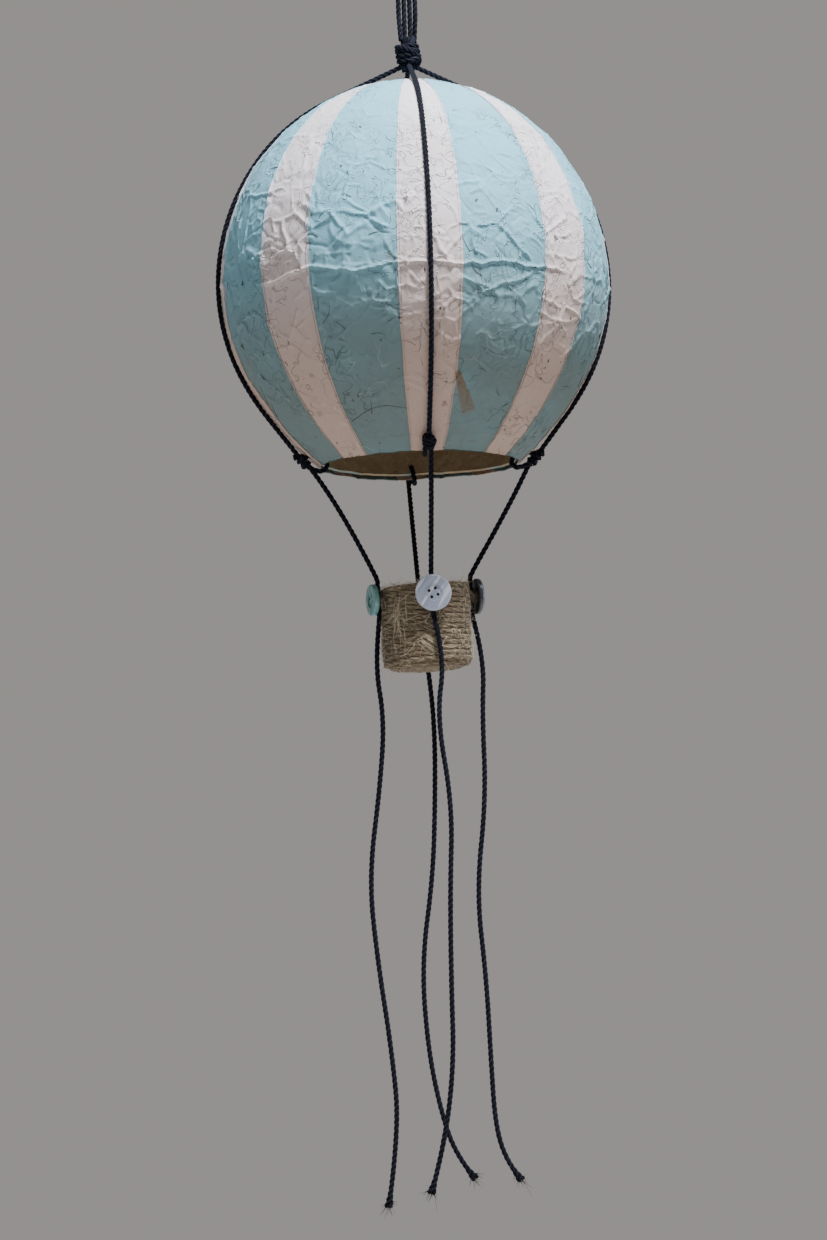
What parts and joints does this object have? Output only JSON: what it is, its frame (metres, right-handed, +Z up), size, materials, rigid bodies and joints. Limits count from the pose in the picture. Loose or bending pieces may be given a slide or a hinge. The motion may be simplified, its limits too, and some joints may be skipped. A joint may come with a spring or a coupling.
{
  "type": "hanging paper balloon lantern ornament",
  "caption": "Hanging papier-mache balloon with striped paper gores, navy cord rigging and a jute-wound basket under buttons, with long free cord tails.",
  "frame": {"origin": "top of the hanging eye's opening, where it bears on its hook", "axes": "+Z up; -Y is the side whose cord faces the front; the balloon, basket and tails hang along -Z"},
  "size_m": [0.227, 0.227, 0.7205],
  "materials": {
    "cord": "three-strand twisted cotton cord, blue-black",
    "white_paper": "handmade mulberry paper pasted with creases, bark flecks and long fibres, off-white",
    "turquoise_paper": "handmade mulberry paper pasted with creases, bark flecks and long fibres, pale turquoise",
    "kraft_paper": "layered brown kraft papier-mache, bare inside",
    "basket_board": "brown board cup",
    "jute": "hairy two-ply jute twine in close rows",
    "pearl_button": "streaked pearl grey, polished",
    "teal_button": "marbled teal, polished",
    "charcoal_button": "charcoal with a blue-grey edge, satin",
    "glue": "set hot glue, slightly cloudy"
  },
  "bodies": {
    "eye": {"eye_inner_bight": "cord", "eye_outer_bight": "cord"},
    "strap": {"strap_strand_1": "cord", "strap_strand_2": "cord", "strap_strand_3": "cord", "strap_strand_4": "cord"},
    "balloon": {"crown_knot": "cord", "envelope_top": "kraft_paper", "envelope_middle": "kraft_paper", "envelope_bottom": "kraft_paper", "white_gore_1": "white_paper", "white_gore_2": "white_paper", "white_gore_3": "white_paper", "white_gore_4": "white_paper", "white_gore_5": "white_paper", "white_gore_6": "white_paper", "white_gore_7": "white_paper", "white_gore_8": "white_paper", "turquoise_gore_1": "turquoise_paper", "turquoise_gore_2": "turquoise_paper", "turquoise_gore_3": "turquoise_paper", "turquoise_gore_4": "turquoise_paper", "turquoise_gore_5": "turquoise_paper", "turquoise_gore_6": "turquoise_paper", "turquoise_gore_7": "turquoise_paper", "turquoise_gore_8": "turquoise_paper", "leg_front": "cord", "leg_right": "cord", "leg_back": "cord", "leg_left": "cord", "rim_knot_front": "cord", "rim_knot_right": "cord", "rim_knot_back": "cord", "rim_knot_left": "cord", "stay_front": "cord", "stay_right": "cord", "stay_back": "cord", "stay_left": "cord"},
    "basket": {"basket_cup": "basket_board", "jute_side_winding": "jute", "jute_base_winding": "jute", "button_front": "pearl_button", "button_right": "charcoal_button", "button_back": "pearl_button", "button_left": "teal_button", "pressed_cord_front": "cord", "pressed_cord_right": "cord", "pressed_cord_back": "cord", "pressed_cord_left": "cord", "glue_dab_front": "glue", "glue_dab_right": "glue", "glue_dab_back": "glue", "glue_dab_left": "glue"},
    "tail_front": {"tail_front": "cord"},
    "tail_right": {"tail_right": "cord"},
    "tail_back": {"tail_back": "cord"},
    "tail_left": {"tail_left": "cord"}
  },
  "joints": [
    {"name": "strap_twist", "type": "hinge", "parent": "eye", "child": "strap", "pos_m": [0, 0, -0.03315], "axis": [0, 0, 1], "range_deg": [-90, 90]},
    {"name": "balloon_swing", "type": "hinge", "parent": "strap", "child": "balloon", "pos_m": [0, 0, -0.051], "axis": [0, 1, 0], "range_deg": [-25, 25]},
    {"name": "basket_turn", "type": "hinge", "parent": "balloon", "child": "basket", "pos_m": [0.0012, 0, -0.391], "axis": [0, 0, 1], "range_deg": [-20, 20], "deforming": ["stay_front", "stay_right", "stay_back", "stay_left"]},
    {"name": "tail_front_swing", "type": "hinge", "parent": "basket", "child": "tail_front", "pos_m": [0.00346, -0.0273, -0.38737], "axis": [-0.9962, -0.0872, 0], "range_deg": [0, 30]},
    {"name": "tail_right_swing", "type": "hinge", "parent": "basket", "child": "tail_right", "pos_m": [0.02836, 0.00239, -0.3865], "axis": [0.0872, -0.9962, 0], "range_deg": [0, 30]},
    {"name": "tail_back_swing", "type": "hinge", "parent": "basket", "child": "tail_back", "pos_m": [0.0006, 0.0274, -0.38747], "axis": [0.9998, 0.0175, 0], "range_deg": [0, 30]},
    {"name": "tail_left_swing", "type": "hinge", "parent": "basket", "child": "tail_left", "pos_m": [-0.02565, -0.00616, -0.38713], "axis": [-0.225, 0.9744, 0], "range_deg": [0, 30]}
  ]
}
